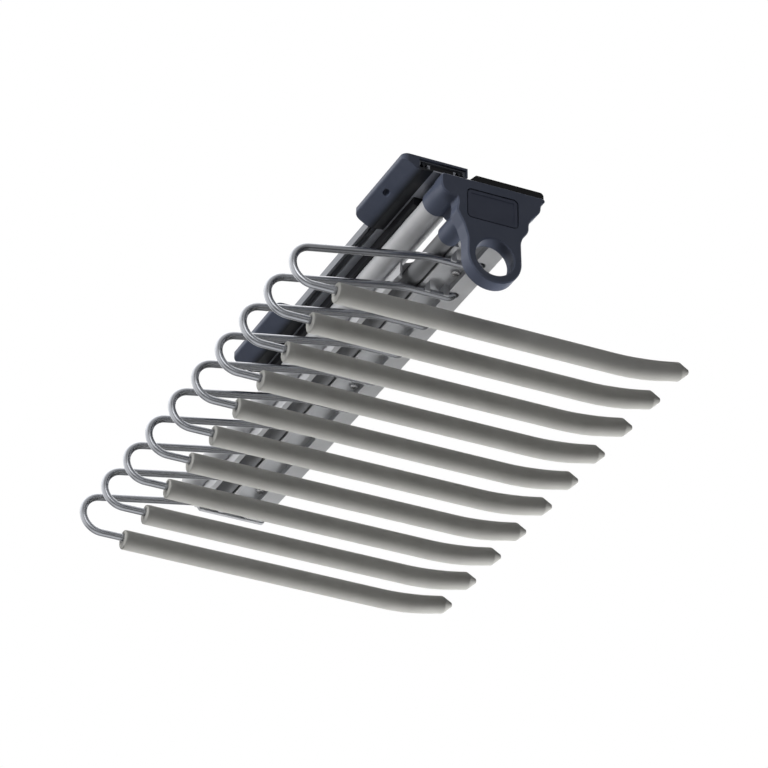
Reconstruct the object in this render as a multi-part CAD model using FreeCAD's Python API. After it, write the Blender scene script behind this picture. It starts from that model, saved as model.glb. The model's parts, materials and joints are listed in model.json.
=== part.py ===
# Pull-out trouser rack that hangs under a wardrobe shelf.
# The origin is on the mounting plane, on the slide's centre line and midway between its brackets.
# +X points along the arms, -Y is the way the rack pulls out, +Z is up. All sizes are in millimetres.
import FreeCAD, Part
import math
import os

# Telescopic slide
slide_length = 308.0
slide_width = 38.0
slide_height = 7.0
outer_wall = 1.9
outer_web = 1.0
middle_flange = 2.6
middle_web = 0.9
inner_flange = 2.2
inner_web = 1.1
row_gap = 1.4            # between two side walls, where a row of balls runs
web_gap = 0.4            # between the webs of two members
middle_lift = 0.2        # the middle member's lower edge stays above its neighbours'
travel = 300.0
access_hole = 11.0       # driver hole in the middle member

# Ball rows
ball_diameter = 2.5
ball_clearance = 0.25
ball_count = 10
cage_length = 120.0
cage_strip = 0.5
cage_margin = 0.55       # cage beyond the ball, above and below
cage_hole_clearance = 0.1

# Shelf brackets
bracket_length = 86.0
bracket_end_wall = 2.0   # closes the slide's rear end
bracket_plate = 2.0
flange_reach = 13.0
flange_edge = 4.0
flange_corner = 5.0
bracket_side = 1.5
bracket_side_drop = 6.0
hook_thickness = 2.2     # at its ridge
hook_lip = 0.8           # at its free edge
hook_gap = 0.4           # above the hook, where the inner member runs
hook_reach = 4.1         # under the inner member's side
hook_ridge_inset = 2.4   # ridge inside the slide's left side
hook_side = 2.0          # beside the slide
hook_knee_radius = 16.0
flange_round = 2.2
slot_width = 4.5
slot_length = 8.0
web_hole = 4.5
web_hole_head = 8.6
rivet_diameter = 4.0
rivet_head = 6.0
rivet_spacing = 54.0
buffer_depth = 3.0
buffer_width = 16.0
buffer_height = 3.4

# Carriage rail
upper_tube = 18.0
upper_tube_wall = 1.8
upper_tube_x = 6.2
lower_tube = 14.0
lower_tube_wall = 1.6
tube_step_x = 17.5
tube_step_z = 14.8
rail_plate = 1.8
rail_rib = 2.2
strip_a_width = 4.5
strip_b_width = 3.6
strip_a_gap = 4.2        # between strip A and the lower tube
strip_b_lap = 1.8        # strip B reaches under the lower tube by this much
channel_width = 20.2
box_width = 15.3
strip_drop = 0.2         # strips stand this far below the lower tube
rail_front_inset = 13.0  # tube ends behind the cap's front face
rail_rear_margin = 17.0  # rail behind the last arm
window_length = 56.0     # open window between the tubes, behind the sockets
window_rib = 4.0         # rib of the upper tube that runs beside the window, below the rail's top
rib_slope = 5.4          # height of the rib's sloping underside

# Saddle between slide and upper tube
saddle_crown = 2.0
saddle_left = 11.5       # from the upper tube's axis
saddle_right = 4.5
saddle_drop = 7.0
saddle_front_inset = 36.0  # from the slide's front end
saddle_rear_inset = 8.0    # from the slide's rear end
saddle_screw = 4.0
saddle_screw_head = 7.4
saddle_screw_count = 4
saddle_screw_margin = 18.0

# Front cap
cap_reach = 9.0          # cap's face in front of the slide's end
cap_plate = 12.0
cap_top = -13.5
cap_right = 81.0
socket_wall = 1.5
upper_socket_length = 20.2
lower_socket_length = 34.5
socket_web = 7.0         # web that joins the two sockets
ring_hole = 31.0
ring_rim = 6.5
ring_x = 38.7
ring_z = -76.3
cap_edge = 1.0
# Lobes of the cap's outline: from its top corner across and up, and the corner's radius
cap_right_lobes = [
    (0.0, 0.0, 1.6), (0.0, -2.6, 2.2), (-3.4, -6.2, 8.0), (-3.8, -12.5, 9.0),
    (-14.0, -24.7, 11.0), (-13.8, -33.0, 11.0),
]
cap_left_lobes = [
    (17.9, -39.5, 8.0), (12.6, -29.5, 4.0), (13.7, -22.5, 2.0), (13.0, -18.0, 1.2),
]
cap_corner = 3.0
socket_corner = 8.5      # cap's outline round the upper socket
socket_lip = 0.9         # cap's outline below the upper tube
neck_right = (-0.3, 21.0, 14.0)   # from the ring's right side: across, up, radius
neck_left = (0.1, 12.5, 12.0)    # from the ring's left side
label_x = 37.4
label_z = -34.3
label_width = 42.3
label_height = 25.6
label_corner = 4.0
label_depth = 2.4
label_groove = 0.9
label_rise = 2.1         # plate thickness inside its recess
label_frame = 3.5
label_sink = 0.5
cap_screw = 3.0
cap_screw_head = 5.6
cap_screw_head_height = 1.8
top_buffer_length = 61.6
top_buffer_inset = 0.4   # from the cap's right side
top_buffer_width = 8.0
top_buffer_height = 6.0
spigot_length = 16.0

# Arms
arm_count = 10
arm_pitch = 45.0
first_arm_inset = 50.0   # from the rail's front end
wire = 6.0
sleeve = 16.0
sleeve_axis_z = -98.0
sleeve_start = -60.3
sleeve_straight = 228.5
sleeve_bend_radius = 210.0
sleeve_bend_angle = 12.0
sleeve_tip_straight = 12.0
sleeve_nose_length = 9.0
sleeve_nose = 3.6
sleeve_mouth = 7.6
sleeve_mouth_depth = 2.0
wire_tip_gap = 4.0
loop_offset = 18.4       # loop centre to the left of the sleeve
loop_radius = 16.1
wire_lift = 1.8          # wire above the sleeve's centre line
arm_slope = 11.0
arm_bend_radius = 80.0
leg_bend_radius = 5.0
leg_rise = 9.0           # wire end above the box's underside
leg_hole_gap = 1.4       # room for the bend in the box's hole

# Clip strip and its screws
clip_strip_height = 7.4
clip_length = 4.0
clip_inset = 2.4         # clips from the strip's right side
clip_wall = 1.3
clip_grip = 1.4          # clip below the wire's axis
clip_screw = 4.0
clip_head = 7.0
clip_screw_inset = 3.6   # from the strip's right side
clip_head_height = 2.2
clip_recess = 2.4        # driver recess across
clip_screw_arms = 4      # arm pitches between clip screws
clip_screw_count = 3

# Rear closures
rear_cap_plate = 3.0
rear_cap_lip = 1.0
rear_cap_side = 2.5      # beyond the box
rear_cap_cut = (4.0, 5.0)  # cut-off lower left corner
plug_length = 10.0

# Fits
seat_gap = 0.05          # round pieces of one body that are fixed to each other
push_gap = 0.1           # plugs and spigots in their tubes
run_gap = 0.4            # members of different bodies that pass each other

# Derived heights and half widths of the slide
slide_end = slide_length / 2
slide_top = -bracket_plate
slide_under = slide_top - slide_height
outer_half = slide_width / 2
outer_inside = outer_half - outer_wall
middle_half = outer_inside - row_gap
middle_inside = middle_half - middle_flange
inner_half = middle_inside - row_gap
inner_inside = inner_half - inner_flange
outer_row = (outer_inside + middle_half) / 2
inner_row = (middle_inside + inner_half) / 2
middle_top = slide_top - outer_web - web_gap
inner_top = middle_top - middle_web - web_gap
middle_under = slide_under + middle_lift
inner_floor = slide_under + inner_web
ball_z = (inner_top + slide_under) / 2
groove_radius = ball_diameter / 2 + ball_clearance
member_rear = slide_end - buffer_depth - run_gap
bracket_y = slide_end + bracket_end_wall - bracket_length / 2
saddle_front = saddle_front_inset - slide_end
saddle_rear = slide_end - saddle_rear_inset

# Derived places of the carriage rail
upper_z = slide_under - saddle_crown - upper_tube / 2 - seat_gap
lower_x = upper_tube_x + tube_step_x
lower_z = upper_z - tube_step_z
rail_top = lower_z + lower_tube / 2
rail_under = lower_z - lower_tube / 2 - strip_drop
strip_a_right = lower_x - lower_tube / 2 - strip_a_gap
strip_a_left = strip_a_right - strip_a_width
wall_a_left = strip_a_right - rail_rib
strip_b_left = lower_x + lower_tube / 2 - strip_b_lap
strip_b_right = strip_b_left + strip_b_width
box_left = strip_b_right + channel_width
box_right = box_left + box_width
channel_top = rail_top - rail_plate
cap_front = -slide_end - cap_reach
cap_rear = cap_front + cap_plate
upper_socket_rear = cap_rear + upper_socket_length
lower_socket_rear = cap_rear + lower_socket_length
window_rear = lower_socket_rear + window_length
rail_front = cap_front + rail_front_inset
ring_outer = ring_hole / 2 + ring_rim
cap_left = upper_tube_x - upper_tube / 2 - socket_wall - push_gap  # flush with the upper socket

# Derived places of the arms and clips
run_z = rail_under - wire / 2 - push_gap
leg_x = box_left + rail_plate + wire / 2 + 2 * push_gap
clip_left = strip_b_right + push_gap
clip_right = box_left - push_gap
clip_under = channel_top - clip_strip_height
clip_places = (clip_left + clip_length / 2, clip_right - clip_inset)
clip_screw_x = clip_right - clip_screw_inset
first_arm = rail_front + first_arm_inset
arm_places = [first_arm + i * arm_pitch for i in range(arm_count)]
rail_rear = arm_places[-1] + rail_rear_margin
clip_screw_places = [
    first_arm + arm_pitch / 2 + i * clip_screw_arms * arm_pitch for i in range(clip_screw_count)
]


def vec(x, y, z):
    return FreeCAD.Vector(x, y, z)


def block(x0, x1, y0, y1, z0, z1):
    return Part.makeBox(x1 - x0, y1 - y0, z1 - z0, vec(x0, y0, z0))


def rod_x(x0, x1, y, z, diameter):
    return Part.makeCylinder(diameter / 2, x1 - x0, vec(x0, y, z), vec(1, 0, 0))


def rod_y(x, z, y0, y1, diameter):
    return Part.makeCylinder(diameter / 2, y1 - y0, vec(x, y0, z), vec(0, 1, 0))


def rod_z(x, y, z0, z1, diameter):
    return Part.makeCylinder(diameter / 2, z1 - z0, vec(x, y, z0), vec(0, 0, 1))


def cone_z(x, y, z0, z1, diameter0, diameter1):
    return Part.makeCone(diameter0 / 2, diameter1 / 2, z1 - z0, vec(x, y, z0), vec(0, 0, 1))


def fuse(shapes):
    return shapes[0].multiFuse(shapes[1:]).removeSplitter()


def save(name, shape):
    solids = shape.Solids
    whole = solids[0] if len(solids) == 1 else Part.makeCompound(solids)
    whole.exportStep("parts/" + name + ".step")


# Closed outline in an XZ plane: corners as (x, z, radius), with the radius as a tangent arc
def outline(corners, y):
    count = len(corners)
    cuts = []
    for i in range(count):
        x, z, radius = corners[i]
        here = vec(x, y, z)
        before = vec(corners[i - 1][0], y, corners[i - 1][1])
        after = vec(corners[(i + 1) % count][0], y, corners[(i + 1) % count][1])
        back = (before - here).normalize()
        ahead = (after - here).normalize()
        half = back.getAngle(ahead) / 2
        reach = radius / math.tan(half)
        middle = (back + ahead).normalize() * (radius / math.sin(half) - radius)
        cuts.append((here + back * reach, here + middle, here + ahead * reach, radius))
    edges = []
    for i in range(count):
        start, middle, end, radius = cuts[i]
        if radius > 0:
            edges.append(Part.Arc(start, middle, end).toShape())
        edges.append(Part.LineSegment(end, cuts[(i + 1) % count][0]).toShape())
    return Part.Wire(edges)


def prism(corners, y0, y1):
    return Part.Face(outline(corners, y0)).extrude(vec(0, y1 - y0, 0))


def plain(points):
    return [(x, z, 0.0) for x, z in points]


def rounded(x0, x1, z0, z1, radius):
    return [(x0, z0, radius), (x1, z0, radius), (x1, z1, radius), (x0, z1, radius)]


# Round bar along straight runs and tangent arcs in the plane of one arm
def bent_bar(edges, diameter):
    path = Part.Wire(edges)
    first = edges[0]
    start = first.valueAt(first.FirstParameter)
    way = first.tangentAt(first.FirstParameter)
    ring = Part.Wire([Part.makeCircle(diameter / 2, start, way)])
    return path.makePipeShell([ring], True, False)


# Slide members

def ball_grooves(row, y0, y1):
    left = rod_y(-row, ball_z, y0, y1, 2 * groove_radius)
    right = rod_y(row, ball_z, y0, y1, 2 * groove_radius)
    return [left, right]


def slide_outer():
    web = block(-outer_half, outer_half, -slide_end, slide_end, slide_top - outer_web, slide_top)
    left = block(-outer_half, -outer_inside, -slide_end, slide_end, slide_under, slide_top)
    right = block(outer_inside, outer_half, -slide_end, slide_end, slide_under, slide_top)
    body = fuse([web, left, right])
    holes = ball_grooves(outer_row, -slide_end, slide_end)
    for y in (-bracket_y, bracket_y):
        holes.append(web_screw_hole(y))
        for rivet_y in rivet_places(y):
            holes.append(rivet_shape(rivet_y, seat_gap))
    return body.cut(holes)


def slide_middle():
    web_under = middle_top - middle_web
    web = block(-middle_half, middle_half, -slide_end, member_rear, web_under, middle_top)
    left = block(-middle_half, -middle_inside, -slide_end, member_rear, middle_under, middle_top)
    right = block(middle_inside, middle_half, -slide_end, member_rear, middle_under, middle_top)
    body = fuse([web, left, right])
    holes = ball_grooves(outer_row, -slide_end, member_rear)
    holes += ball_grooves(inner_row, -slide_end, member_rear)
    holes.append(rod_z(0, travel / 2 - bracket_y, web_under, middle_top, access_hole))
    return body.cut(holes)


def slide_inner():
    web = block(-inner_half, inner_half, -slide_end, member_rear, slide_under, inner_floor)
    left = block(-inner_half, -inner_inside, -slide_end, member_rear, slide_under, inner_top)
    right = block(inner_inside, inner_half, -slide_end, member_rear, slide_under, inner_top)
    body = fuse([web, left, right])
    holes = ball_grooves(inner_row, -slide_end, member_rear)
    for y in saddle_screw_places():
        holes.append(saddle_screw_shape(y, seat_gap))
    return body.cut(holes)


def slide_bumper():
    half = inner_inside - push_gap
    depth = 2 * buffer_depth
    return block(-half, half, -slide_end, depth - slide_end, inner_floor, inner_top)


# Ball rows: one cage strip on each side, midway along the members
def ball_places():
    middle = (member_rear - slide_end) / 2
    pitch = cage_length / ball_count
    return [middle + (i - (ball_count - 1) / 2) * pitch for i in range(ball_count)]


def ball_cage(row):
    places = ball_places()
    half_pitch = cage_length / ball_count / 2
    half_height = ball_diameter / 2 + cage_margin
    strips = []
    for side in (-row, row):
        strip = block(
            side - cage_strip / 2, side + cage_strip / 2,
            places[0] - half_pitch, places[-1] + half_pitch,
            ball_z - half_height, ball_z + half_height,
        )
        hole = ball_diameter + 2 * cage_hole_clearance
        strips.append(strip.cut([
            rod_x(side - cage_strip, side + cage_strip, y, ball_z, hole) for y in places
        ]))
    return Part.makeCompound(strips)


def balls(row):
    return Part.makeCompound([
        Part.makeSphere(ball_diameter / 2, vec(side, y, ball_z))
        for side in (-row, row) for y in ball_places()
    ])


# Shelf brackets

def rivet_places(bracket_middle):
    return (bracket_middle - rivet_spacing / 2, bracket_middle + rivet_spacing / 2)


def rivet_shape(y, gap):
    head_height = (rivet_head - rivet_diameter) / 2
    head_z = slide_top - outer_web
    shank = rod_z(0, y, head_z, 0, rivet_diameter + 2 * gap)
    head = cone_z(0, y, head_z, head_z + head_height, rivet_head + 2 * gap, rivet_diameter + 2 * gap)
    return shank.fuse(head)


def web_screw_hole(y):
    head_z = slide_top - outer_web
    sink = (web_hole_head - web_hole) / 2
    hole = rod_z(0, y, head_z, 0, web_hole)
    return hole.fuse(cone_z(0, y, head_z, head_z + sink, web_hole_head, web_hole))


def bracket(side):
    middle = side * bracket_y
    y0 = middle - bracket_length / 2
    y1 = middle + bracket_length / 2
    flange_left = -outer_half - flange_reach
    hook_top = slide_under - hook_gap
    hook_end = hook_reach - inner_half
    right = outer_half + bracket_side
    deep = hook_top - hook_thickness
    section = plain([
        (flange_left, 0), (right, 0), (right, slide_top - bracket_side_drop),
        (outer_half, slide_top - bracket_side_drop), (outer_half, slide_top), (-outer_half, slide_top),
        (-outer_half, hook_top), (hook_end, hook_top), (hook_end, hook_top - hook_lip),
        (hook_ridge_inset - outer_half, deep),
    ]) + [
        (-outer_half - hook_side, deep + hook_lip, hook_knee_radius),
        (flange_left, -flange_edge, flange_round),
    ]
    body = prism(section, y0, y1)
    plan = block(flange_left, right, y0, y1, deep, 0)
    corners = []
    for edge in plan.Edges:
        ends = edge.Vertexes
        upright = abs(ends[0].Z - ends[-1].Z) > flange_edge
        if upright and abs(ends[0].X - flange_left) < 0.01:
            corners.append(edge)
    body = body.common(plan.makeFillet(flange_corner, corners))
    slot_x = -outer_half - flange_reach / 2
    slot_half = (slot_length - slot_width) / 2
    slot = fuse([
        rod_z(slot_x, middle - slot_half, deep, 0, slot_width),
        rod_z(slot_x, middle + slot_half, deep, 0, slot_width),
        block(slot_x - slot_width / 2, slot_x + slot_width / 2,
              middle - slot_half, middle + slot_half, deep, 0),
    ])
    holes = [slot, web_screw_hole(middle)]
    for y in rivet_places(middle):
        holes.append(rivet_shape(y, seat_gap))
    body = body.cut(holes)
    if side > 0:
        end_wall = block(-outer_half, outer_half, slide_end, y1, hook_top, slide_top)
        body = fuse([body, end_wall])
    return body


def bracket_rivets():
    places = rivet_places(-bracket_y) + rivet_places(bracket_y)
    return Part.makeCompound([rivet_shape(y, 0) for y in places])


def rear_buffer():
    top = inner_floor + buffer_height
    pad = rounded(-buffer_width / 2, buffer_width / 2, inner_floor - inner_web, top, buffer_height / 4)
    return prism(pad, slide_end - buffer_depth, slide_end)


# Saddle bar and its screws

def saddle_screw_places():
    first = saddle_front + saddle_screw_margin
    step = (saddle_rear - saddle_front - 2 * saddle_screw_margin) / (saddle_screw_count - 1)
    return [first + i * step for i in range(saddle_screw_count)]


def saddle_screw_shape(y, gap):
    tip = upper_z + upper_tube / 2 - 2 * upper_tube_wall
    sink = (saddle_screw_head - saddle_screw) / 2
    head_under = inner_floor - sink
    shank = rod_z(upper_tube_x, y, tip, inner_floor, saddle_screw + 2 * gap)
    head = cone_z(upper_tube_x, y, head_under, inner_floor,
                  saddle_screw + 2 * gap, saddle_screw_head + 2 * gap)
    return shank.fuse(head)


def saddle_bar():
    left = upper_tube_x - saddle_left
    right = upper_tube_x + saddle_right
    body = block(left, right, saddle_front, saddle_rear, slide_under - saddle_drop, slide_under)
    holes = [rod_y(upper_tube_x, upper_z, saddle_front, saddle_rear, upper_tube + 2 * seat_gap)]
    for y in saddle_screw_places():
        holes.append(saddle_screw_shape(y, seat_gap))
    return body.cut(holes)


def saddle_screws():
    slot = saddle_screw / 4
    screws = []
    for y in saddle_screw_places():
        cross = [
            block(upper_tube_x - slot * 2, upper_tube_x + slot * 2, y - slot / 2, y + slot / 2,
                  inner_floor - slot, inner_floor),
            block(upper_tube_x - slot / 2, upper_tube_x + slot / 2, y - slot * 2, y + slot * 2,
                  inner_floor - slot, inner_floor),
        ]
        screws.append(saddle_screw_shape(y, 0).cut(cross))
    return Part.makeCompound(screws)


# Carriage rail: two round tubes, flat strips and a box section in one profile

def carriage_rail():
    ladder_front = lower_socket_rear + run_gap
    wall_a = block(wall_a_left, strip_a_right, ladder_front, rail_rear, rail_under, upper_z)
    foot_a = block(strip_a_left, strip_a_right, ladder_front, rail_rear,
                   rail_under, rail_under + rail_plate)
    bridge = block(wall_a_left, lower_x, ladder_front, rail_rear, channel_top, rail_top)
    window_right = lower_x - lower_tube / 4
    window_width = window_right - strip_a_left
    window_round = rod_z((strip_a_left + window_right) / 2, window_rear - window_width / 2,
                         rail_under, upper_z, window_width)
    window_box = block(strip_a_left, window_right, ladder_front, window_rear - window_width / 2,
                       rail_under, upper_z)
    rib_under = rail_top - window_rib
    rib_section = plain([
        (wall_a_left, upper_z), (strip_a_right, upper_z),
        (strip_a_right, rib_under), (wall_a_left, rib_under + rib_slope),
    ])
    rib = prism(rib_section, upper_socket_rear + run_gap, rail_rear)
    side_a = fuse([fuse([wall_a, foot_a, bridge]).cut([window_round, window_box]), rib])
    rib_b = (strip_b_left + strip_b_right - rail_rib) / 2
    side_b = [
        block(strip_b_left, strip_b_right, ladder_front, rail_rear, rail_under, rail_under + rail_plate),
        block(rib_b, rib_b + rail_rib, ladder_front, rail_rear, rail_under, rail_top),
        block(lower_x, strip_b_right, ladder_front, rail_rear, channel_top, rail_top),
    ]
    box = [
        block(strip_b_right, box_right, rail_front, rail_rear, channel_top, rail_top),
        block(box_left, box_right, rail_front, rail_rear, rail_under, rail_top),
    ]
    tubes = [
        rod_y(upper_tube_x, upper_z, rail_front, rail_rear, upper_tube),
        rod_y(lower_x, lower_z, rail_front, rail_rear, lower_tube),
    ]
    body = fuse([side_a] + side_b + box + tubes)
    holes = [
        rod_y(upper_tube_x, upper_z, rail_front, rail_rear, upper_tube - 2 * upper_tube_wall),
        rod_y(lower_x, lower_z, rail_front, rail_rear, lower_tube - 2 * lower_tube_wall),
        block(box_left + rail_plate, box_right - rail_plate, rail_front, rail_rear,
              rail_under + rail_plate, channel_top),
    ]
    for y in arm_places:
        holes.append(rod_z(leg_x, y, rail_under, rail_under + rail_plate, wire + 2 * leg_hole_gap))
    for y in clip_screw_places:
        holes.append(rod_z(clip_screw_x, y, channel_top, rail_top, clip_screw + 2 * seat_gap))
    for y in saddle_screw_places():
        holes.append(saddle_screw_shape(y, seat_gap))
    holes += cap_screw_shapes(seat_gap)
    return body.cut(holes)


# Front cap with two tube sockets, a box spigot, a pull ring and a recess for the label plate

def cap_outline():
    ring_left = ring_x - ring_outer
    ring_right = ring_x + ring_outer
    socket_under = upper_z - upper_tube / 2
    right = [(cap_right + x, cap_top + z, radius) for x, z, radius in cap_right_lobes]
    left = [(cap_left + x, cap_top + z, radius) for x, z, radius in cap_left_lobes]
    ring = [
        (ring_right + neck_right[0], ring_z + neck_right[1], neck_right[2]), (ring_right, ring_z, 0.0),
        (ring_left, ring_z, 0.0), (ring_left + neck_left[0], ring_z + neck_left[1], neck_left[2]),
    ]
    return [(cap_left, cap_top, cap_corner)] + right + ring + left + [
        (cap_left, socket_under - socket_lip, socket_corner),
    ]


def cap_screw_shapes(gap):
    socket_half = upper_tube / 2 + socket_wall + push_gap
    upper_y = (cap_rear + upper_socket_rear) / 2
    lower_y = (cap_rear + lower_socket_rear) / 2
    shank = cap_screw + 2 * gap
    head = cap_screw_head + 2 * gap
    side_x = upper_tube_x + socket_half
    top_z = lower_z + lower_tube / 2 + socket_wall + push_gap
    upper_tip = upper_tube_x + upper_tube / 2 - 2 * upper_tube_wall
    lower_tip = lower_z + lower_tube / 2 - 2 * lower_tube_wall
    upper = rod_x(upper_tip, side_x, upper_y, upper_z, shank)
    upper_head = rod_x(side_x, side_x + cap_screw_head_height, upper_y, upper_z, head)
    lower = rod_z(lower_x, lower_y, lower_tip, top_z, shank)
    lower_head = rod_z(lower_x, lower_y, top_z, top_z + cap_screw_head_height, head)
    return [upper.fuse(upper_head), lower.fuse(lower_head)]


# Web between the socket axes, as a slab along the line from one axis to the other
def socket_bridge():
    length = math.hypot(tube_step_x, tube_step_z)
    across_x = socket_web / 2 * tube_step_z / length
    across_z = socket_web / 2 * tube_step_x / length
    section = [
        (upper_tube_x + across_x, upper_z + across_z), (lower_x + across_x, lower_z + across_z),
        (lower_x - across_x, lower_z - across_z), (upper_tube_x - across_x, upper_z - across_z),
    ]
    return prism(plain(section), cap_rear, upper_socket_rear)


def front_cap():
    plate = prism(cap_outline(), cap_front, cap_rear)
    ring = rod_y(ring_x, ring_z, cap_front, cap_rear, 2 * ring_outer)
    plate = fuse([plate, ring])
    plate = plate.cut(rod_y(ring_x, ring_z, cap_front, cap_rear, ring_hole))
    rim = [edge for edge in plate.Edges if edge.BoundBox.YMax < cap_front + 0.01]
    plate = plate.makeChamfer(cap_edge, rim)
    upper_socket = rod_y(upper_tube_x, upper_z, cap_rear, upper_socket_rear,
                         upper_tube + 2 * (socket_wall + push_gap))
    lower_socket = rod_y(lower_x, lower_z, cap_rear, lower_socket_rear,
                         lower_tube + 2 * (socket_wall + push_gap))
    spigot = block(box_left + rail_plate + push_gap, box_right - rail_plate - push_gap,
                   cap_rear, cap_rear + spigot_length,
                   rail_under + rail_plate + push_gap, channel_top - push_gap)
    body = fuse([plate, upper_socket, lower_socket, socket_bridge(), spigot])
    holes = [
        rod_y(upper_tube_x, upper_z, rail_front, upper_socket_rear, upper_tube + 2 * push_gap),
        rod_y(lower_x, lower_z, rail_front, lower_socket_rear, lower_tube + 2 * push_gap),
        prism(label_outline(0.0), cap_front, cap_front + label_depth),
    ]
    holes += cap_screw_shapes(seat_gap)
    return body.cut(holes)


def label_outline(inset):
    half_width = label_width / 2 - inset
    half_height = label_height / 2 - inset
    radius = max(label_corner - inset, 0.5)
    return rounded(label_x - half_width, label_x + half_width,
                   label_z - half_height, label_z + half_height, radius)


def label_plate():
    back = cap_front + label_depth
    plate = prism(label_outline(label_groove), back - label_rise, back)
    sink = prism(label_outline(label_frame), back - label_rise, back - label_rise + label_sink)
    return plate.cut(sink)


def cap_screws():
    return Part.makeCompound(cap_screw_shapes(0))


def top_buffer():
    right = cap_right - top_buffer_inset
    left = right - top_buffer_length
    top = cap_top + top_buffer_height
    section = [
        (left, cap_top, 0.0), (right, cap_top, 0.0),
        (right, top, top_buffer_height / 2), (left + top_buffer_height, top, top_buffer_height / 6),
    ]
    middle = (cap_front + cap_rear) / 2
    return prism(section, middle - top_buffer_width / 2, middle + top_buffer_width / 2)


# Arms: one bent wire and one sleeve for each place along the carriage

def arm_centre_line(y):
    slope = math.radians(arm_slope)
    loop_x = sleeve_start - loop_offset
    loop_z = sleeve_axis_z + wire_lift + loop_radius
    upper_start = vec(loop_x - loop_radius * math.sin(slope), y, loop_z + loop_radius * math.cos(slope))
    bend_x = upper_start.x + (run_z - upper_start.z) / math.tan(slope)
    bend_reach = arm_bend_radius * math.tan(slope / 2)
    leg_top = vec(leg_x, y, rail_under + leg_rise)
    leg_low = vec(leg_x, y, run_z + leg_bend_radius)
    turn = leg_bend_radius * math.sqrt(0.5)
    leg_mid = vec(leg_x - leg_bend_radius + turn, y, run_z + leg_bend_radius - turn)
    run_start = vec(leg_x - leg_bend_radius, y, run_z)
    run_end = vec(bend_x + bend_reach, y, run_z)
    bend_end = vec(bend_x - bend_reach * math.cos(slope), y, run_z - bend_reach * math.sin(slope))
    bend_sag = arm_bend_radius * (1 - math.cos(slope / 2))
    bend_mid = vec(run_end.x - arm_bend_radius * math.sin(slope / 2), y, run_z - bend_sag)
    loop_mid = vec(loop_x - loop_radius, y, loop_z)
    loop_end = vec(loop_x, y, sleeve_axis_z + wire_lift)
    edges = [
        Part.LineSegment(leg_top, leg_low).toShape(),
        Part.Arc(leg_low, leg_mid, run_start).toShape(),
        Part.LineSegment(run_start, run_end).toShape(),
        Part.Arc(run_end, bend_mid, bend_end).toShape(),
        Part.LineSegment(bend_end, upper_start).toShape(),
        Part.Arc(upper_start, loop_mid, loop_end).toShape(),
    ]
    return edges, loop_end


# Line along a sleeve from a start point, which sets its height, with the straight length after its bend
def sleeve_line(start, straight_end):
    y = start.y
    angle = math.radians(sleeve_bend_angle)
    radius = sleeve_bend_radius - (start.z - sleeve_axis_z)
    bend_x = sleeve_start + sleeve_straight
    low = vec(bend_x, y, start.z)
    mid = vec(bend_x + radius * math.sin(angle / 2), y, start.z + radius * (1 - math.cos(angle / 2)))
    high = vec(bend_x + radius * math.sin(angle), y, start.z + radius * (1 - math.cos(angle)))
    way = vec(math.cos(angle), 0, math.sin(angle))
    end = high + way * straight_end
    edges = [
        Part.LineSegment(start, low).toShape(),
        Part.Arc(low, mid, high).toShape(),
        Part.LineSegment(high, end).toShape(),
    ]
    return edges, end, way


def arm_wire(y):
    upper, loop_end = arm_centre_line(y)
    lower = sleeve_line(loop_end, sleeve_tip_straight - wire_tip_gap)[0]
    return bent_bar(upper + lower, wire)


def arm_sleeve(y):
    start = vec(sleeve_start, y, sleeve_axis_z)
    bore_start = vec(sleeve_start, y, sleeve_axis_z + wire_lift)
    edges, end, way = sleeve_line(start, sleeve_tip_straight)
    body = bent_bar(edges, sleeve)
    nose = Part.makeCone(sleeve / 2, sleeve_nose / 2, sleeve_nose_length, end, way)
    body = fuse([body, nose])
    bore_edges = sleeve_line(bore_start, sleeve_tip_straight - wire_tip_gap + push_gap)[0]
    bore = bent_bar(bore_edges, wire + 2 * push_gap)
    mouth = rod_x(sleeve_start, sleeve_start + sleeve_mouth_depth, y, bore_start.z, sleeve_mouth)
    return body.cut([bore, mouth])


# Clip strip that fills the rail's channel, with two clips round each wire

def clip_strip():
    front = rail_front + arm_pitch / 4
    rear = rail_rear - arm_pitch / 4
    strip = block(clip_left, clip_right, front, rear, clip_under, channel_top)
    clips = []
    holes = []
    finger_half = wire / 2 + push_gap + clip_wall
    low = run_z - clip_grip
    for y in arm_places:
        for x in clip_places:
            clips.append(block(x - clip_length / 2, x + clip_length / 2,
                               y - finger_half, y + finger_half, low, clip_under))
        holes.append(rod_x(clip_left, clip_right, y, run_z, wire + 2 * push_gap))
        holes.append(block(clip_left, clip_right, y - wire / 2, y + wire / 2, low, run_z))
    for y in clip_screw_places:
        holes.append(rod_z(clip_screw_x, y, clip_under, channel_top, clip_screw + 2 * seat_gap))
    return fuse([strip] + clips).cut(holes)


def clip_screws():
    screws = []
    for y in clip_screw_places:
        head_low = clip_under - clip_head_height
        head = rod_z(clip_screw_x, y, head_low, clip_under, clip_head)
        rim = [edge for edge in head.Edges if edge.BoundBox.ZMax < head_low + 0.01]
        head = head.makeFillet(clip_head_height * 0.6, rim)
        shank = rod_z(clip_screw_x, y, clip_under, rail_top + rail_plate, clip_screw)
        half = clip_recess
        thin = clip_recess / 4
        recess_top = head_low + clip_recess / 2
        cross = [
            block(clip_screw_x - half, clip_screw_x + half, y - thin, y + thin, head_low, recess_top),
            block(clip_screw_x - thin, clip_screw_x + thin, y - half, y + half, head_low, recess_top),
        ]
        screws.append(fuse([head, shank]).cut(cross))
    return Part.makeCompound(screws)


# Rear closures

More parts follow.
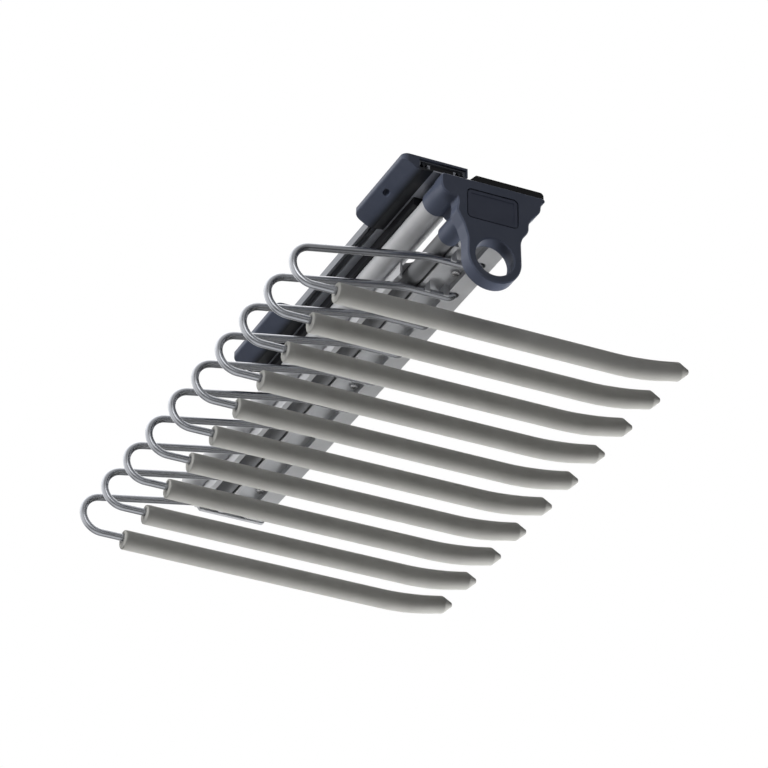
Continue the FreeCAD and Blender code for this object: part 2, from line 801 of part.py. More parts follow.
def rear_end_cap():
    left = wall_a_left - rear_cap_lip / 2
    right = box_right + rear_cap_side
    under = rail_under - rear_cap_lip
    top = rail_top + rear_cap_lip
    face = [
        (left, top, rear_cap_lip), (right, top, rear_cap_lip), (right, under, 2 * rear_cap_lip),
        (left + rear_cap_cut[0], under, rear_cap_lip), (left, under + rear_cap_cut[1], rear_cap_lip),
    ]
    plate = prism(face, rail_rear, rail_rear + rear_cap_plate)
    plate = plate.cut(rod_y(upper_tube_x, upper_z, rail_rear, rail_rear + rear_cap_plate,
                            upper_tube + 2 * push_gap))
    plug = block(box_left + rail_plate + push_gap, box_right - rail_plate - push_gap,
                 rail_rear - plug_length, rail_rear,
                 rail_under + rail_plate + push_gap, channel_top - push_gap)
    peg = rod_y(lower_x, lower_z, rail_rear - plug_length, rail_rear,
                lower_tube - 2 * (lower_tube_wall + push_gap))
    return fuse([plate, plug, peg])


def tube_plug():
    head = rod_y(upper_tube_x, upper_z, rail_rear, rail_rear + rear_cap_plate, upper_tube)
    rim = [edge for edge in head.Edges if edge.BoundBox.YMin > rail_rear + rear_cap_plate - 0.01]
    head = head.makeFillet(rear_cap_plate / 2, rim)
    stem = rod_y(upper_tube_x, upper_z, rail_rear - plug_length, rail_rear,
                 upper_tube - 2 * (upper_tube_wall + push_gap))
    return fuse([head, stem])


os.makedirs("parts", exist_ok=True)
save("slide_outer", slide_outer())
save("slide_middle", slide_middle())
save("slide_inner", slide_inner())
save("slide_bumper", slide_bumper())
save("ball_cage_outer", ball_cage(outer_row))
save("ball_cage_inner", ball_cage(inner_row))
save("balls_outer", balls(outer_row))
save("balls_inner", balls(inner_row))
save("front_bracket", bracket(-1))
save("rear_bracket", bracket(1))
save("bracket_rivets", bracket_rivets())
save("rear_buffer", rear_buffer())
save("saddle_bar", saddle_bar())
save("saddle_screws", saddle_screws())
save("carriage_rail", carriage_rail())
save("front_cap", front_cap())
save("label_plate", label_plate())
save("cap_screws", cap_screws())
save("top_buffer", top_buffer())
save("clip_strip", clip_strip())
save("clip_screws", clip_screws())
save("rear_end_cap", rear_end_cap())
save("tube_plug", tube_plug())
for number, place in enumerate(arm_places, start=1):
    save("arm_wire_%02d" % number, arm_wire(place))
    save("arm_sleeve_%02d" % number, arm_sleeve(place))
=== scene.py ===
import json
import math

import bpy
import numpy as np
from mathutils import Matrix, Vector


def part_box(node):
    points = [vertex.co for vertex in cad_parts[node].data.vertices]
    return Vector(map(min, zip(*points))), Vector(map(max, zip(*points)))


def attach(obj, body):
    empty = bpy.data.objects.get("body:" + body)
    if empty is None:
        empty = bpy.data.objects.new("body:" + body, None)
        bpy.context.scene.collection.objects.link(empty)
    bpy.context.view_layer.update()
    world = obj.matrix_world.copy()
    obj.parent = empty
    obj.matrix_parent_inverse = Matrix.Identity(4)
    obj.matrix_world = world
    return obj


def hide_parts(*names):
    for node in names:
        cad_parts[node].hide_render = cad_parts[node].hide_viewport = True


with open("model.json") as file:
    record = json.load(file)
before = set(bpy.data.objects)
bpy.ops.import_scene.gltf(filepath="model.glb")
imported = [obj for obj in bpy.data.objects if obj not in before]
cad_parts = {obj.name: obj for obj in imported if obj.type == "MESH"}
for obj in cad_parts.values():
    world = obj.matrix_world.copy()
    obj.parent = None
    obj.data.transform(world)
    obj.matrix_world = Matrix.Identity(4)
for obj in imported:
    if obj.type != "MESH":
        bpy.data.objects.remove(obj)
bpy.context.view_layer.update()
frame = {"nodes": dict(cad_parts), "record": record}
nodes = frame["nodes"]
print("frame loaded with", len(nodes), "nodes")


# materials: each finish is a function that returns one node material

noiseSpan = (0.3, 0.7)  # the noise values that are spread over a finish


def startMaterial(name):
    material = bpy.data.materials.new(name)
    material.use_nodes = True
    tree = material.node_tree
    shader = tree.nodes["Principled BSDF"]
    place = tree.nodes.new("ShaderNodeTexCoord")
    return material, tree, shader, place


def addNoise(tree, source, stretch=(1, 1, 1), scale=1.0, detail=3.0, rough=0.5):
    # noise on coordinates stretched per axis
    mapping = tree.nodes.new("ShaderNodeMapping")
    mapping.inputs["Scale"].default_value = stretch
    noise = tree.nodes.new("ShaderNodeTexNoise")
    noise.inputs["Scale"].default_value = scale
    noise.inputs["Detail"].default_value = detail
    noise.inputs["Roughness"].default_value = rough
    tree.links.new(source, mapping.inputs["Vector"])
    tree.links.new(mapping.outputs["Vector"], noise.inputs["Vector"])
    return noise.outputs["Fac"]


def addSpan(tree, source, fromSpan, toSpan=(0.0, 1.0), smooth=False):
    # value carried from one span to another, and held at its ends
    node = tree.nodes.new("ShaderNodeMapRange")
    if smooth:
        node.interpolation_type = "SMOOTHSTEP"
    node.inputs["From Min"].default_value, node.inputs["From Max"].default_value = fromSpan
    node.inputs["To Min"].default_value, node.inputs["To Max"].default_value = toSpan
    tree.links.new(source, node.inputs["Value"])
    return node.outputs["Result"]


def addTint(tree, source, dark, light):
    # colour ramp between two tones of one finish
    ramp = tree.nodes.new("ShaderNodeValToRGB")
    for stop, spot, tone in zip(ramp.color_ramp.elements, noiseSpan, (dark, light)):
        stop.position = spot
        stop.color = (*tone, 1)
    tree.links.new(source, ramp.inputs["Fac"])
    return ramp.outputs["Color"]


def addBump(tree, shader, source, depth, strength):
    bump = tree.nodes.new("ShaderNodeBump")
    bump.inputs["Strength"].default_value = strength
    bump.inputs["Distance"].default_value = depth
    tree.links.new(source, bump.inputs["Height"])
    tree.links.new(bump.outputs["Normal"], shader.inputs["Normal"])


def mixShade(tree, mask, tone):
    # painted shade: second, darker tone of a finish, where the mask is one
    shader = tree.nodes["Principled BSDF"]
    base = shader.inputs["Base Color"].links[0].from_socket
    mix = tree.nodes.new("ShaderNodeMix")
    mix.data_type = "RGBA"
    mix.inputs["B"].default_value = (*tone, 1)
    tree.links.new(mask, mix.inputs["Factor"])
    tree.links.new(base, mix.inputs["A"])
    tree.links.new(mix.outputs["Result"], shader.inputs["Base Color"])


# metals: lines are noise cells per metre on each axis, or along and around a wire
metalLook = dict(cloud=45.0, lineDetail=4.0, bump=0.4)
metalFinishes = {
    "railAluminium": dict(dark=(0.54, 0.545, 0.56), light=(0.61, 0.615, 0.63),
                          metal=0.10, rough=(0.42, 0.54), lines=(900, 6, 900), depth=0.00003),
    "slideSteel": dict(dark=(0.155, 0.165, 0.190), light=(0.195, 0.205, 0.230),
                       metal=0.35, rough=(0.34, 0.46), lines=(700, 8, 700), depth=0.00003),
    # painted light: the slide's moving member is the slide steel made much lighter, for the shade it
    # lies in
    "litInnerSteel": dict(dark=(0.40, 0.42, 0.47), light=(0.48, 0.50, 0.55),
                       metal=0.25, rough=(0.34, 0.46), lines=(700, 8, 700), depth=0.00003),
    "cageSteel": dict(dark=(0.12, 0.12, 0.125), light=(0.16, 0.16, 0.17),
                      metal=0.9, rough=(0.30, 0.42), lines=(500, 20, 500), depth=0.00003),
    "ballSteel": dict(dark=(0.70, 0.71, 0.73), light=(0.76, 0.77, 0.79),
                      metal=1.0, rough=(0.08, 0.14), lines=(400, 400, 400), depth=0.00001),
    "screwSteel": dict(dark=(0.55, 0.55, 0.56), light=(0.66, 0.66, 0.67),
                       metal=0.9, rough=(0.20, 0.32), lines=(600, 600, 600), depth=0.00003),
    "wireChrome": dict(dark=(0.44, 0.453, 0.485), light=(0.49, 0.503, 0.535),
                       metal=1.0, rough=(0.24, 0.26), lines=(40, 14, 1), depth=0, along=True),
}


def metal(name):
    # drawn or plated metal: slow clouds in colour, fine lines along the stock in roughness and bump
    want = metalFinishes[name]
    material, tree, shader, place = startMaterial(name)
    spot = place.outputs["UV" if want.get("along") else "Object"]
    lines = addNoise(tree, spot, stretch=want["lines"], detail=metalLook["lineDetail"])
    cloud = addNoise(tree, place.outputs["Object"], scale=metalLook["cloud"])
    tree.links.new(addTint(tree, cloud, want["dark"], want["light"]), shader.inputs["Base Color"])
    tree.links.new(addSpan(tree, lines, noiseSpan, want["rough"]), shader.inputs["Roughness"])
    shader.inputs["Metallic"].default_value = want["metal"]
    if want["depth"]:
        addBump(tree, shader, lines, want["depth"], metalLook["bump"])
    return material


# the rail's lower tube is painted darker than the aluminium round it, as painted shade
lowerTubeShade = dict(axis=(0.0237, -0.03485), half=0.0074, soft=0.0003, tone=(0.20, 0.203, 0.212))


def addTubeShade(material, want):
    # painted shade: mask from the distance to the tube's axis, with the place along the rail left out
    tree = material.node_tree
    place = tree.nodes.new("ShaderNodeTexCoord")
    flat = tree.nodes.new("ShaderNodeVectorMath")
    flat.operation = "MULTIPLY"
    flat.inputs[1].default_value = (1.0, 0.0, 1.0)
    reach = tree.nodes.new("ShaderNodeVectorMath")
    reach.operation = "DISTANCE"
    reach.inputs[1].default_value = (want["axis"][0], 0.0, want["axis"][1])
    tree.links.new(place.outputs["Object"], flat.inputs[0])
    tree.links.new(flat.outputs["Vector"], reach.inputs[0])
    mask = addSpan(tree, reach.outputs["Value"], (want["half"] + want["soft"], want["half"]))
    mixShade(tree, mask, want["tone"])


# plastics, rubber and foam: grain is noise cells per metre
plasticLook = dict(cloud=60.0, detail=4.0, grainRough=0.6, bump=0.35, gloss=0.5)
plasticFinishes = {
    "slatePlastic": dict(dark=(0.078, 0.092, 0.135), light=(0.092, 0.106, 0.152),
                         rough=(0.38, 0.50), grain=1400.0, depth=0.00006, gloss=0.32),
    # painted shade: the brackets' plastic is the slate plastic made a little darker
    "bracketShadedPlastic": dict(dark=(0.070, 0.083, 0.122), light=(0.083, 0.096, 0.138),
                           rough=(0.38, 0.50), grain=1400.0, depth=0.00006, gloss=0.32),
    "labelPlastic": dict(dark=(0.062, 0.072, 0.110), light=(0.072, 0.083, 0.124),
                         rough=(0.40, 0.50), grain=1800.0, depth=0.00004, gloss=0.32),
    "blackPlastic": dict(dark=(0.005, 0.005, 0.007), light=(0.009, 0.009, 0.011),
                         rough=(0.42, 0.56), grain=1200.0, depth=0.00005, gloss=0.25),
    "slideBlack": dict(dark=(0.018, 0.021, 0.029), light=(0.026, 0.030, 0.040),
                       rough=(0.30, 0.42), grain=900.0, depth=0.00003, gloss=0.3),
    "blackRubber": dict(dark=(0.004, 0.004, 0.005), light=(0.008, 0.008, 0.009),
                        rough=(0.65, 0.80), grain=1100.0, depth=0.00006, gloss=0.25),
    "greyPlastic": dict(dark=(0.48, 0.49, 0.51), light=(0.57, 0.58, 0.60),
                        rough=(0.42, 0.54), grain=1200.0, depth=0.00005),
    "sleeveGrey": dict(dark=(0.50, 0.495, 0.470), light=(0.55, 0.545, 0.520),
                       rough=(0.80, 0.92), grain=1600.0, depth=0.00008),
}


def plastic(name):
    # moulded or foamed surface: slow mottling in colour, fine grain in roughness and bump
    want = plasticFinishes[name]
    material, tree, shader, place = startMaterial(name)
    spot = place.outputs["Object"]
    grain = addNoise(tree, spot, scale=want["grain"], detail=plasticLook["detail"],
                     rough=plasticLook["grainRough"])
    cloud = addNoise(tree, spot, scale=plasticLook["cloud"], detail=plasticLook["detail"])
    tree.links.new(addTint(tree, cloud, want["dark"], want["light"]), shader.inputs["Base Color"])
    tree.links.new(addSpan(tree, grain, noiseSpan, want["rough"]), shader.inputs["Roughness"])
    shader.inputs["Specular IOR Level"].default_value = want.get("gloss", plasticLook["gloss"])
    addBump(tree, shader, grain, want["depth"], plasticLook["bump"])
    return material


# painted shade: the brackets' hooks are painted black towards their ridge, measured from the slide's
# left side
hookShade = dict(fadeStart=-0.0030, ridge=0.0024, edge=0.0003, tone=(0.006, 0.007, 0.010))


def addHookShade(material, want):
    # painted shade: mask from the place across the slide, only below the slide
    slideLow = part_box("slide_outer")[0]
    spans = {
        "X": (slideLow[0] + want["fadeStart"], slideLow[0] + want["ridge"]),
        "Z": (slideLow[2] + want["edge"], slideLow[2]),
    }
    tree = material.node_tree
    place = tree.nodes.new("ShaderNodeTexCoord")
    split = tree.nodes.new("ShaderNodeSeparateXYZ")
    tree.links.new(place.outputs["Object"], split.inputs["Vector"])
    both = tree.nodes.new("ShaderNodeMath")
    both.operation = "MULTIPLY"
    for socket, (axis, span) in enumerate(spans.items()):
        mask = addSpan(tree, split.outputs[axis], span, smooth=True)
        tree.links.new(mask, both.inputs[socket])
    mixShade(tree, both.outputs["Value"], want["tone"])


finishes = {name: metal(name) for name in metalFinishes}
finishes.update({name: plastic(name) for name in plasticFinishes})
# painted shade on the rail's lower tube
addTubeShade(finishes["railAluminium"], lowerTubeShade)
# painted shade on the brackets' hooks
addHookShade(finishes["bracketShadedPlastic"], hookShade)
print("finishes:", len(finishes))


# finish of each CAD node, from the record's material slots
slotFinish = {
    "slide_steel": "slideSteel", "slide_black": "slideBlack", "cage_steel": "cageSteel",
    "ball_steel": "ballSteel", "slate_plastic": "slatePlastic", "label_plastic": "labelPlastic",
    "black_plastic": "blackPlastic", "black_rubber": "blackRubber", "rail_aluminium": "railAluminium",
    "grey_plastic": "greyPlastic", "screw_steel": "screwSteel", "wire_chrome": "wireChrome",
    "sleeve_grey": "sleeveGrey",
}
# nodes that differ from their slot: the slide's moving member is lightened as painted light, the
# brackets are darkened as painted shade and carry the painted shade of their hooks
nodeFinish = {
    "slide_inner": "litInnerSteel", "front_bracket": "bracketShadedPlastic", "rear_bracket": "bracketShadedPlastic",
}
nodeSlot = {part["node"]: part["material_slot"] for part in frame["record"]["subparts"]}
for name, node in nodes.items():
    node.data.materials.clear()
    node.data.materials.append(finishes[nodeFinish.get(name, slotFinish[nodeSlot[name]])])


# arms: each is a round profile carried along a bent line in its own upright plane

def lineTo(start, end, count=3):
    # straight run: start plus a growing share of the way to the end
    share = np.linspace(0.0, 1.0, count)[:, None]
    return np.array(start) + share * (np.array(end) - np.array(start))


def arcAbout(centre, radius, startDeg, endDeg, count):
    # circular run: centre plus radius times the cosine and sine of a turning angle
    turn = np.radians(np.linspace(startDeg, endDeg, count))
    return np.array(centre) + radius * np.stack([np.cos(turn), np.sin(turn)], axis=1)


def lineReach(line):
    # distance of each point from the line's start, along its chords
    step = np.linalg.norm(np.diff(line, axis=0), axis=1)
    return np.concatenate([[0.0], np.cumsum(step)])


def joinRuns(runs, least=1e-7):
    # runs end to end, without the points that two runs share
    line = np.concatenate(runs)
    step = np.diff(lineReach(line))
    return line[np.concatenate([[True], step > least])]


def alongLine(line, distance):
    # points and unit ways at given distances from the line's start, on its own chords
    reach = lineReach(line)
    tangent = np.gradient(line, reach, axis=0)
    spot = np.stack([np.interp(distance, reach, line[:, k]) for k in (0, 1)], axis=1)
    way = np.stack([np.interp(distance, reach, tangent[:, k]) for k in (0, 1)], axis=1)
    return spot, way / np.linalg.norm(way, axis=1)[:, None]


def endCurve(radius, count):
    # quarter circle: how far in and how far out a rounded end stands
    turn = np.linspace(0.0, math.pi / 2, count)
    return radius * (1.0 - np.cos(turn)), radius * np.sin(turn)


def makePiece(name, points, faces, chart=None, smooth=True):
    # mesh from whole arrays; the chart gives each point its place along and around the piece
    mesh = bpy.data.meshes.new(name)
    mesh.from_pydata(points.tolist(), [], faces)
    if chart is not None:
        corner = np.empty(len(mesh.loops), dtype=np.int32)
        mesh.loops.foreach_get("vertex_index", corner)
        layer = mesh.uv_layers.new(name="along")
        layer.data.foreach_set("uv", chart[corner].astype(np.float32).ravel())
    mesh.polygons.foreach_set("use_smooth", np.full(len(mesh.polygons), smooth))
    mesh.update()
    piece = bpy.data.objects.new(name, mesh)
    bpy.context.scene.collection.objects.link(piece)
    return piece


def sweepRound(name, line, y, distance, radius, lift, sides):
    # round skin: at each distance a circle of the given radius stands across the line,
    # raised by the lift; the first and last circles shrink to one point each
    spot, way = alongLine(line, distance)
    across = np.stack([-way[:, 1], way[:, 0]], axis=1)
    centre = spot + across * lift[:, None]
    turn = np.linspace(0.0, 2.0 * math.pi, sides, endpoint=False)
    up = radius[:, None] * np.cos(turn)
    side = radius[:, None] * np.sin(turn)
    ringX = centre[:, 0, None] + across[:, 0, None] * up
    ringZ = centre[:, 1, None] + across[:, 1, None] * up
    rings = np.stack([ringX, y + side, ringZ], axis=2)[1:-1]
    count = len(rings)
    ends = [[centre[0, 0], y, centre[0, 1]], [centre[-1, 0], y, centre[-1, 1]]]
    points = np.concatenate([rings.reshape(-1, 3), ends])
    here = np.arange(sides)
    after = (here + 1) % sides
    row = np.arange(count - 1)[:, None] * sides
    corners = [row + here, row + sides + here, row + sides + after, row + after]
    quads = np.stack(corners, axis=2).reshape(-1, 4)
    first, last = count * sides, count * sides + 1
    lastRow = (count - 1) * sides
    startFan = np.stack([np.full(sides, first), here, after], axis=1)
    endFan = np.stack([np.full(sides, last), lastRow + after, lastRow + here], axis=1)
    faces = quads.tolist() + startFan.tolist() + endFan.tolist()
    reach = np.repeat(distance[1:-1], sides)
    around = np.tile(here / sides, count)
    endChart = [[distance[0], 0.0], [distance[-1], 0.0]]
    chart = np.concatenate([np.stack([reach, around], axis=1), endChart])
    return makePiece(name, points, faces, chart)


# bent wire of one arm, in metres in the arm's plane
wireShape = dict(
    diameter=0.006, sides=20,
    legX=0.0577, legTop=-0.03305, legBend=0.005, cornerPoints=10,
    runZ=-0.04515, armBend=0.080, slope=11.0, bendPoints=10,
    loopX=-0.0787, loopRadius=0.0161, loopPoints=40,
    lift=0.0018, tipStraight=0.008,
    endRadius=0.0008, endPoints=5, endGap=0.001)
# soft sleeve over the wire's lower run
sleeveShape = dict(
    diameter=0.016, sides=36, startX=-0.0603, axisZ=-0.098,
    straight=0.2285, straightRows=24,
    bendRadius=0.210, bendAngle=12.0, bendPoints=14, bendRows=16,
    tipStraight=0.012, taper=0.0006, taperLength=0.035,
    mouth=0.0076, mouthDepth=0.002, mouthBevel=0.0004, floorShare=0.6,
    rimRound=0.0011, rimPoints=5, rimRun=0.004,
    shoulderRound=0.0007, shoulderRows=7,
    noseLength=0.009, nose=0.0036, coneRows=4,
    tipRound=0.0009, tipRows=5, tipStart=0.25, tipBlunt=0.8)


def sleeveLine(height, straight):
    # level run, then an arc upwards, then a short straight run; arcs at other heights share one centre
    want = sleeveShape
    angle = math.radians(want["bendAngle"])
    bendX = want["startX"] + want["straight"]
    runZ = want["axisZ"] + height
    centre = (bendX, want["axisZ"] + want["bendRadius"])
    level = lineTo((want["startX"], runZ), (bendX, runZ))
    bend = arcAbout(centre, want["bendRadius"] - height, -90.0, -90.0 + want["bendAngle"],
                    want["bendPoints"])
    tip = bend[-1] + straight * np.array([math.cos(angle), math.sin(angle)])
    return joinRuns([level, bend, lineTo(bend[-1], tip)])


def wireLine():
    # leg down out of the carriage, level run, bend down, sloping run, loop and the run inside the sleeve
    want = wireShape
    slope = math.radians(want["slope"])
    wireZ = sleeveShape["axisZ"] + want["lift"]
    loopZ = wireZ + want["loopRadius"]
    slopeStart = np.array([want["loopX"] - want["loopRadius"] * math.sin(slope),
                           loopZ + want["loopRadius"] * math.cos(slope)])
    bendX = slopeStart[0] + (want["runZ"] - slopeStart[1]) / math.tan(slope)
    bendCentre = (bendX + want["armBend"] * math.tan(slope / 2), want["runZ"] - want["armBend"])
    cornerZ = want["runZ"] + want["legBend"]
    cornerCentre = (want["legX"] - want["legBend"], cornerZ)
    leg = lineTo((want["legX"], want["legTop"]), (want["legX"], cornerZ))
    corner = arcAbout(cornerCentre, want["legBend"], 0.0, -90.0, want["cornerPoints"])
    bend = arcAbout(bendCentre, want["armBend"], 90.0, 90.0 + want["slope"], want["bendPoints"])
    loop = arcAbout((want["loopX"], loopZ), want["loopRadius"], 90.0 + want["slope"], 270.0,
                    want["loopPoints"])
    return joinRuns([
        leg, corner, lineTo(corner[-1], bend[0]), bend, lineTo(bend[-1], loop[0]), loop,
        lineTo(loop[-1], (sleeveShape["startX"], wireZ), count=2),
        sleeveLine(want["lift"], want["tipStraight"])])


def makeWire(name, y):
    # one radius along the whole line, with a rounded edge at both ends
    want = wireShape
    line = wireLine()
    half = want["diameter"] / 2
    reach = lineReach(line)
    whole = reach[-1]
    inner = reach[(reach > want["endGap"]) & (reach < whole - want["endGap"])]
    back, out = endCurve(want["endRadius"], want["endPoints"])
    ends = half - want["endRadius"] + out
    distance = np.concatenate([[0.0], back, inner, whole - back[::-1], [whole]])
    radius = np.concatenate([[0.0], ends, np.full(len(inner), half), ends[::-1], [0.0]])
    return sweepRound(name, line, y, distance, radius, np.zeros(len(distance)), want["sides"])


def makeSleeve(name, y):
    # rows of distance and radius: out of the mouth, over the rim, along the body and down the nose
    want = sleeveShape
    line = sleeveLine(0.0, want["tipStraight"] + want["noseLength"])
    whole = lineReach(line)[-1]
    half, mouth = want["diameter"] / 2, want["mouth"] / 2
    noseStart = whole - want["noseLength"]

    # the mouth's floor, wall and bevel, then the rim as a quarter circle
    depth, bevel = want["mouthDepth"], want["mouthBevel"]
    mouthIn = [depth, depth, depth, bevel, 0.0]
    mouthHalf = [0.0, mouth * want["floorShare"], mouth, mouth, mouth + bevel]
    rimIn, rimOut = endCurve(want["rimRound"], want["rimPoints"])
    rimHalf = half - want["rimRound"] + rimOut

    # the body loses the taper smoothly: three squares less two cubes of the share
    bodyStart = want["rimRound"] + want["rimRun"]
    bodyEnd = noseStart - want["shoulderRound"]
    body = np.concatenate([np.linspace(bodyStart, want["straight"], want["straightRows"]),
                           np.linspace(want["straight"], bodyEnd, want["bendRows"])[1:]])
    share = np.clip(1.0 - (noseStart - body) / want["taperLength"], 0.0, 1.0)
    bodyHalf = half - want["taper"] * share * share * (3.0 - 2.0 * share)

    # the shoulder is a parabola between the body and the cone of the nose
    endHalf = half - want["taper"]
    fall = (endHalf - want["nose"] / 2) / want["noseLength"]
    soft = np.linspace(-1.0, 1.0, want["shoulderRows"])[1:]
    shoulder = noseStart + want["shoulderRound"] * soft
    shoulderHalf = endHalf - fall * want["shoulderRound"] * (soft + 1.0) ** 2 / 4
    coneEnd = whole - want["tipRound"]
    cone = np.linspace(noseStart + want["shoulderRound"], coneEnd, want["coneRows"])[1:]
    coneHalf = endHalf - fall * (cone - noseStart)

    # the tip closes on a blunted quarter circle
    turn = np.linspace(want["tipStart"], 1.0, want["tipRows"])[:-1] * math.pi / 2
    tip = coneEnd + want["tipRound"] * np.sin(turn)
    tipHalf = coneHalf[-1] * np.cos(turn) ** want["tipBlunt"]

    distance = np.concatenate([mouthIn, rimIn, body, shoulder, cone, tip, [whole]])
    radius = np.concatenate([mouthHalf, rimHalf, bodyHalf, shoulderHalf, coneHalf, tipHalf, [0.0]])
    lift = np.zeros(len(distance))
    lift[:len(mouthIn)] = wireShape["lift"]
    return sweepRound(name, line, y, distance, radius, lift, want["sides"])


def dressArm(piece, finish, node):
    piece.data.materials.append(finishes[finish])
    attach(piece, "carriage")
    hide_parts(node)


armNames = sorted(name[-2:] for name in nodes if name.startswith("arm_wire_"))
for number in armNames:
    low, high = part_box("arm_wire_" + number)
    y = (low[1] + high[1]) / 2
    dressArm(makeWire("wire" + number, y), "wireChrome", "arm_wire_" + number)
    dressArm(makeSleeve("sleeve" + number, y), "sleeveGrey", "arm_sleeve_" + number)
print("arms dressed:", len(armNames))


# camera: level, below and to the left of the front, aimed at the plane of the sleeves
cameraPlace = dict(azimuth=-25.4, elevation=-31.466, distance=3.3429, target=(0.02634, 0.00021, -0.098),
                   lens=207.9, sensor=36.0, near=0.1, far=50.0)


def makeCamera(want):
    turn = math.radians(want["azimuth"])
    lift = math.radians(want["elevation"])
    back = Vector((math.sin(turn) * math.cos(lift), -math.cos(turn) * math.cos(lift), math.sin(lift)))
    data = bpy.data.cameras.new("camera")
    data.sensor_width = want["sensor"]
    data.lens = want["lens"]
    data.clip_start = want["near"]
    data.clip_end = want["far"]
    camera = bpy.data.objects.new("camera", data)
    camera.location = Vector(want["target"]) + back * want["distance"]
    camera.rotation_mode = "QUATERNION"
    camera.rotation_quaternion = (-back).to_track_quat("-Z", "Y")
    bpy.context.scene.collection.objects.link(camera)
    bpy.context.scene.camera = camera


makeCamera(cameraPlace)
print("camera set")


# studio: the main panel stands below, to the right and behind, with softer ones on the other sides
panels = {
    "panelBelow": dict(place=(2.35, 1.35, -1.7), size=(1.8, 1.8), power=138.0, mirrored=False),
    "panelUnder": dict(place=(-0.3, -0.7, -3.2), size=(2.0, 2.0), power=13.0, mirrored=False),
    "panelLeft": dict(place=(-2.75, 0.1, 0.55), size=(1.1, 1.1), power=58.0, mirrored=False),
    "panelFront": dict(place=(-0.6, -2.8, 0.3), size=(1.6, 1.6), power=15.0, mirrored=True),
    "panelTop": dict(place=(0.6, 2.2, 2.3), size=(2.2, 2.2), power=48.0, mirrored=False),
}
# surround: what the camera sees, what lights matt surfaces, and the glows that metal mirrors;
# a glow runs from the dark to the full cosine of the angle to its way
surround = dict(
    shown=(1.0, 1.0, 1.0), light=(0.010, 0.010, 0.011), dim=0.06,
    glows={
        "behind": dict(way=(0.0, 0.8, 0.6), span=(0.30, 0.80), level=1.20),
        "above": dict(way=(0.0, 0.0, 1.0), span=(0.40, 0.90), level=0.65),
        "below": dict(way=(0.0, 0.0, -1.0), span=(0.60, 0.95), level=0.80),
        "left": dict(way=(-1.0, 0.0, 0.0), span=(0.40, 0.90), level=0.90),
        "front": dict(way=(0.0, -1.0, 0.0), span=(0.70, 0.95), level=0.40),
    })
floor = dict(depth=-4.6, half=15.0, cells=4, shown=(0.90, 0.90, 0.89), far=(1.0, 1.0, 1.0),
             light=(0.01, 0.01, 0.01), fade=(5.0, 14.0))


def makePanel(name, want):
    data = bpy.data.lights.new(name, "AREA")
    data.shape = "RECTANGLE"
    data.size, data.size_y = want["size"]
    data.energy = want["power"]
    panel = bpy.data.objects.new(name, data)
    panel.location = want["place"]
    panel.rotation_mode = "QUATERNION"
    panel.rotation_quaternion = (-Vector(want["place"])).to_track_quat("-Z", "Y")
    panel.visible_camera = False
    panel.visible_glossy = want["mirrored"]
    bpy.context.scene.collection.objects.link(panel)


def addGlow(tree, source, want):
    # light from one way: nothing up to the dark cosine, rising smoothly to the level at the full one
    cosine = tree.nodes.new("ShaderNodeVectorMath")
    cosine.operation = "DOT_PRODUCT"
    cosine.inputs[1].default_value = want["way"]
    tree.links.new(source, cosine.inputs[0])
    return addSpan(tree, cosine.outputs["Value"], want["span"], (0.0, want["level"]), smooth=True)


def addSum(tree, first, second):
    node = tree.nodes.new("ShaderNodeMath")
    tree.links.new(first, node.inputs[0])
    if isinstance(second, float):
        node.inputs[1].default_value = second
    else:
        tree.links.new(second, node.inputs[1])
    return node.outputs["Value"]


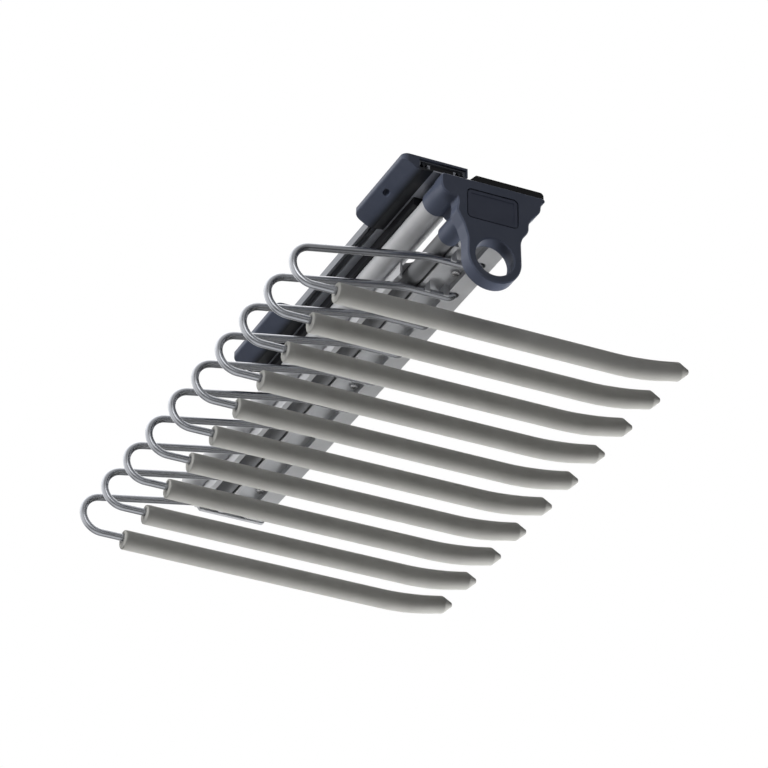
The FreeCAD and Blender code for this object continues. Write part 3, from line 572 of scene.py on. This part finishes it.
def makeSurround(want):
    # white to the camera, nearly dark to matt surfaces; only mirroring surfaces see the glows
    world = bpy.data.worlds.new("studio")
    world.use_nodes = True
    tree = world.node_tree
    tree.nodes.clear()
    ray = tree.nodes.new("ShaderNodeLightPath")
    place = tree.nodes.new("ShaderNodeTexCoord")
    level = want["dim"]
    for glow in want["glows"].values():
        level = addSum(tree, addGlow(tree, place.outputs["Generated"], glow), level)
    shades = {}
    for name in ("light", "mirrored", "shown"):
        shade = tree.nodes.new("ShaderNodeBackground")
        if name == "mirrored":
            tree.links.new(level, shade.inputs["Color"])
        else:
            shade.inputs["Color"].default_value = (*want[name], 1)
        shades[name] = shade.outputs["Background"]
    surface = shades["light"]
    for pick, name in (("Is Glossy Ray", "mirrored"), ("Is Camera Ray", "shown")):
        mix = tree.nodes.new("ShaderNodeMixShader")
        tree.links.new(ray.outputs[pick], mix.inputs["Fac"])
        tree.links.new(surface, mix.inputs[1])
        tree.links.new(shades[name], mix.inputs[2])
        surface = mix.outputs["Shader"]
    output = tree.nodes.new("ShaderNodeOutputWorld")
    tree.links.new(surface, output.inputs["Surface"])
    bpy.context.scene.world = world


def floorSheet(want):
    # level grid far below the part: height fixed, two ways across
    cells = want["cells"]
    edge = np.linspace(-want["half"], want["half"], cells + 1)
    across, along = np.meshgrid(edge, edge)
    points = np.stack([across, along, np.full_like(across, want["depth"])], axis=2).reshape(-1, 3)
    row = np.arange(cells)[:, None] * (cells + 1) + np.arange(cells)
    corners = [row, row + 1, row + cells + 2, row + cells + 1]
    faces = np.stack(corners, axis=2).reshape(-1, 4).tolist()
    return makePiece("floor", points, faces, smooth=False)


def paleFloor(want):
    # pale to the camera, turning to the surround's white far from its middle, and dim as a light
    material, tree, shader, place = startMaterial("paleFloor")
    tree.nodes.remove(shader)
    ray = tree.nodes.new("ShaderNodeLightPath")
    reach = tree.nodes.new("ShaderNodeVectorMath")
    reach.operation = "LENGTH"
    tree.links.new(place.outputs["Object"], reach.inputs[0])
    pale = tree.nodes.new("ShaderNodeMix")
    pale.data_type = "RGBA"
    pale.inputs["A"].default_value = (*want["shown"], 1)
    pale.inputs["B"].default_value = (*want["far"], 1)
    fade = addSpan(tree, reach.outputs["Value"], want["fade"], smooth=True)
    tree.links.new(fade, pale.inputs["Factor"])
    tint = tree.nodes.new("ShaderNodeMix")
    tint.data_type = "RGBA"
    tint.inputs["A"].default_value = (*want["light"], 1)
    tree.links.new(pale.outputs["Result"], tint.inputs["B"])
    tree.links.new(ray.outputs["Is Camera Ray"], tint.inputs["Factor"])
    glow = tree.nodes.new("ShaderNodeEmission")
    tree.links.new(tint.outputs["Result"], glow.inputs["Color"])
    tree.links.new(glow.outputs["Emission"], tree.nodes["Material Output"].inputs["Surface"])
    return material


def makeFloor(want):
    sheet = floorSheet(want)
    sheet.data.materials.append(paleFloor(want))
    sheet.visible_glossy = False


for name, want in panels.items():
    makePanel(name, want)
makeSurround(surround)
makeFloor(floor)
bpy.context.scene.view_settings.view_transform = "Standard"
print("studio lit with", len(panels), "panels")
